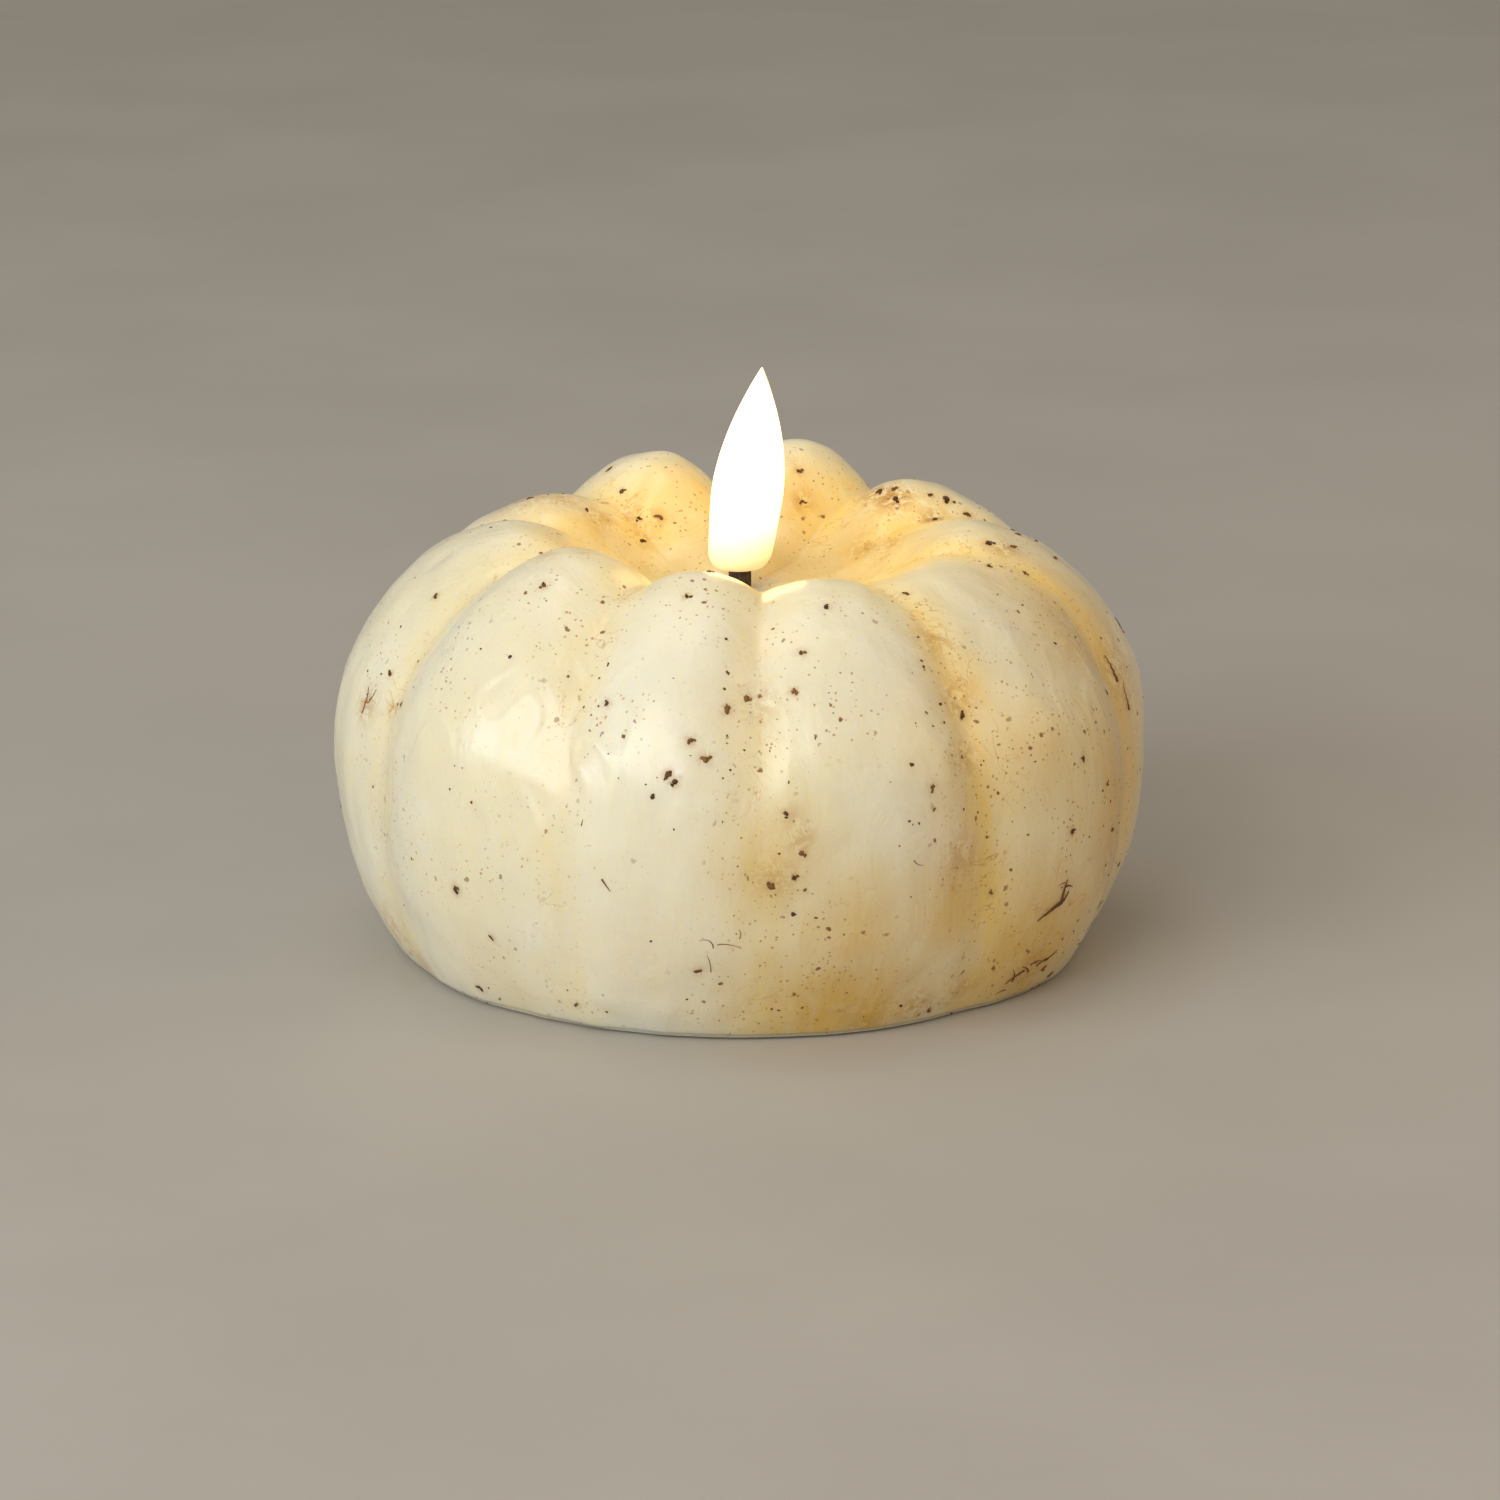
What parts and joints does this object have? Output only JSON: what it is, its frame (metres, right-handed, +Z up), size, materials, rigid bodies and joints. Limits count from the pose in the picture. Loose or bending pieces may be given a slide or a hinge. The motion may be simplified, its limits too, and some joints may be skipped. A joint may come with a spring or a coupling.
{
  "type": "flameless pumpkin candle",
  "caption": "Battery-run flameless candle: a hollow wax pumpkin with a moulded glowing flame in its top well, on a plastic base with a hinged battery door and a slide switch.",
  "frame": {"origin": "on the surface the candle stands on, at the middle of its box seen from above", "axes": "+Z up, -Y the front, +X to the right seen from the front"},
  "size_m": [0.1078, 0.1074, 0.0774],
  "materials": {
    "pumpkin_wax": "translucent cream wax with brown flecks, rusty valleys and a soft satin gloss",
    "flame_plastic": "milky translucent plastic, glowing warm white, emissive",
    "led_resin": "clear warm resin, emissive",
    "stem_black": "matt black",
    "base_plastic": "fine moulded texture, ivory",
    "cell_wrap": "plain printed sleeve with bare metal ends",
    "contact_metal": "nickel-plated spring steel",
    "board_green": "green solder mask",
    "chip_black": "moulded black epoxy",
    "can_metal": "drawn metal can",
    "knob_black": "moulded black plastic",
    "wire_red": "smooth wire insulation",
    "wire_black": "smooth wire insulation",
    "screw_steel": "zinc-plated steel"
  },
  "bodies": {
    "candle": {"wax_shell": "pumpkin_wax", "flame_bulb": "flame_plastic", "flame_led": "led_resin", "wick_stem": "stem_black", "base_plate": "base_plastic", "battery_box": "base_plastic", "battery_1": "cell_wrap", "battery_2": "cell_wrap", "contact_plus": "contact_metal", "contact_minus": "contact_metal", "contact_bridge": "contact_metal", "battery_spring_1": "contact_metal", "battery_spring_2": "contact_metal", "control_board": "board_green", "timer_chip": "chip_black", "crystal": "can_metal", "capacitor": "can_metal", "resistor_1": "chip_black", "resistor_2": "chip_black", "switch_body": "can_metal", "led_wire_red": "wire_red", "led_wire_black": "wire_black", "battery_wire_red": "wire_red", "battery_wire_black": "wire_black", "base_screw_1": "screw_steel", "base_screw_2": "screw_steel", "base_screw_3": "screw_steel", "base_screw_4": "screw_steel", "board_screw_1": "screw_steel", "board_screw_2": "screw_steel"},
    "door": {"battery_door": "base_plastic"},
    "knob": {"switch_knob": "knob_black"}
  },
  "joints": [
    {"name": "door_hinge", "type": "hinge", "parent": "candle", "child": "door", "pos_m": [0.0286, 0, 0.0017], "axis": [0, -1, 0], "range_deg": [0, 95]},
    {"name": "switch_slide", "type": "slide", "parent": "candle", "child": "knob", "axis": [1, 0, 0], "range_m": [0, 0.004]}
  ]
}
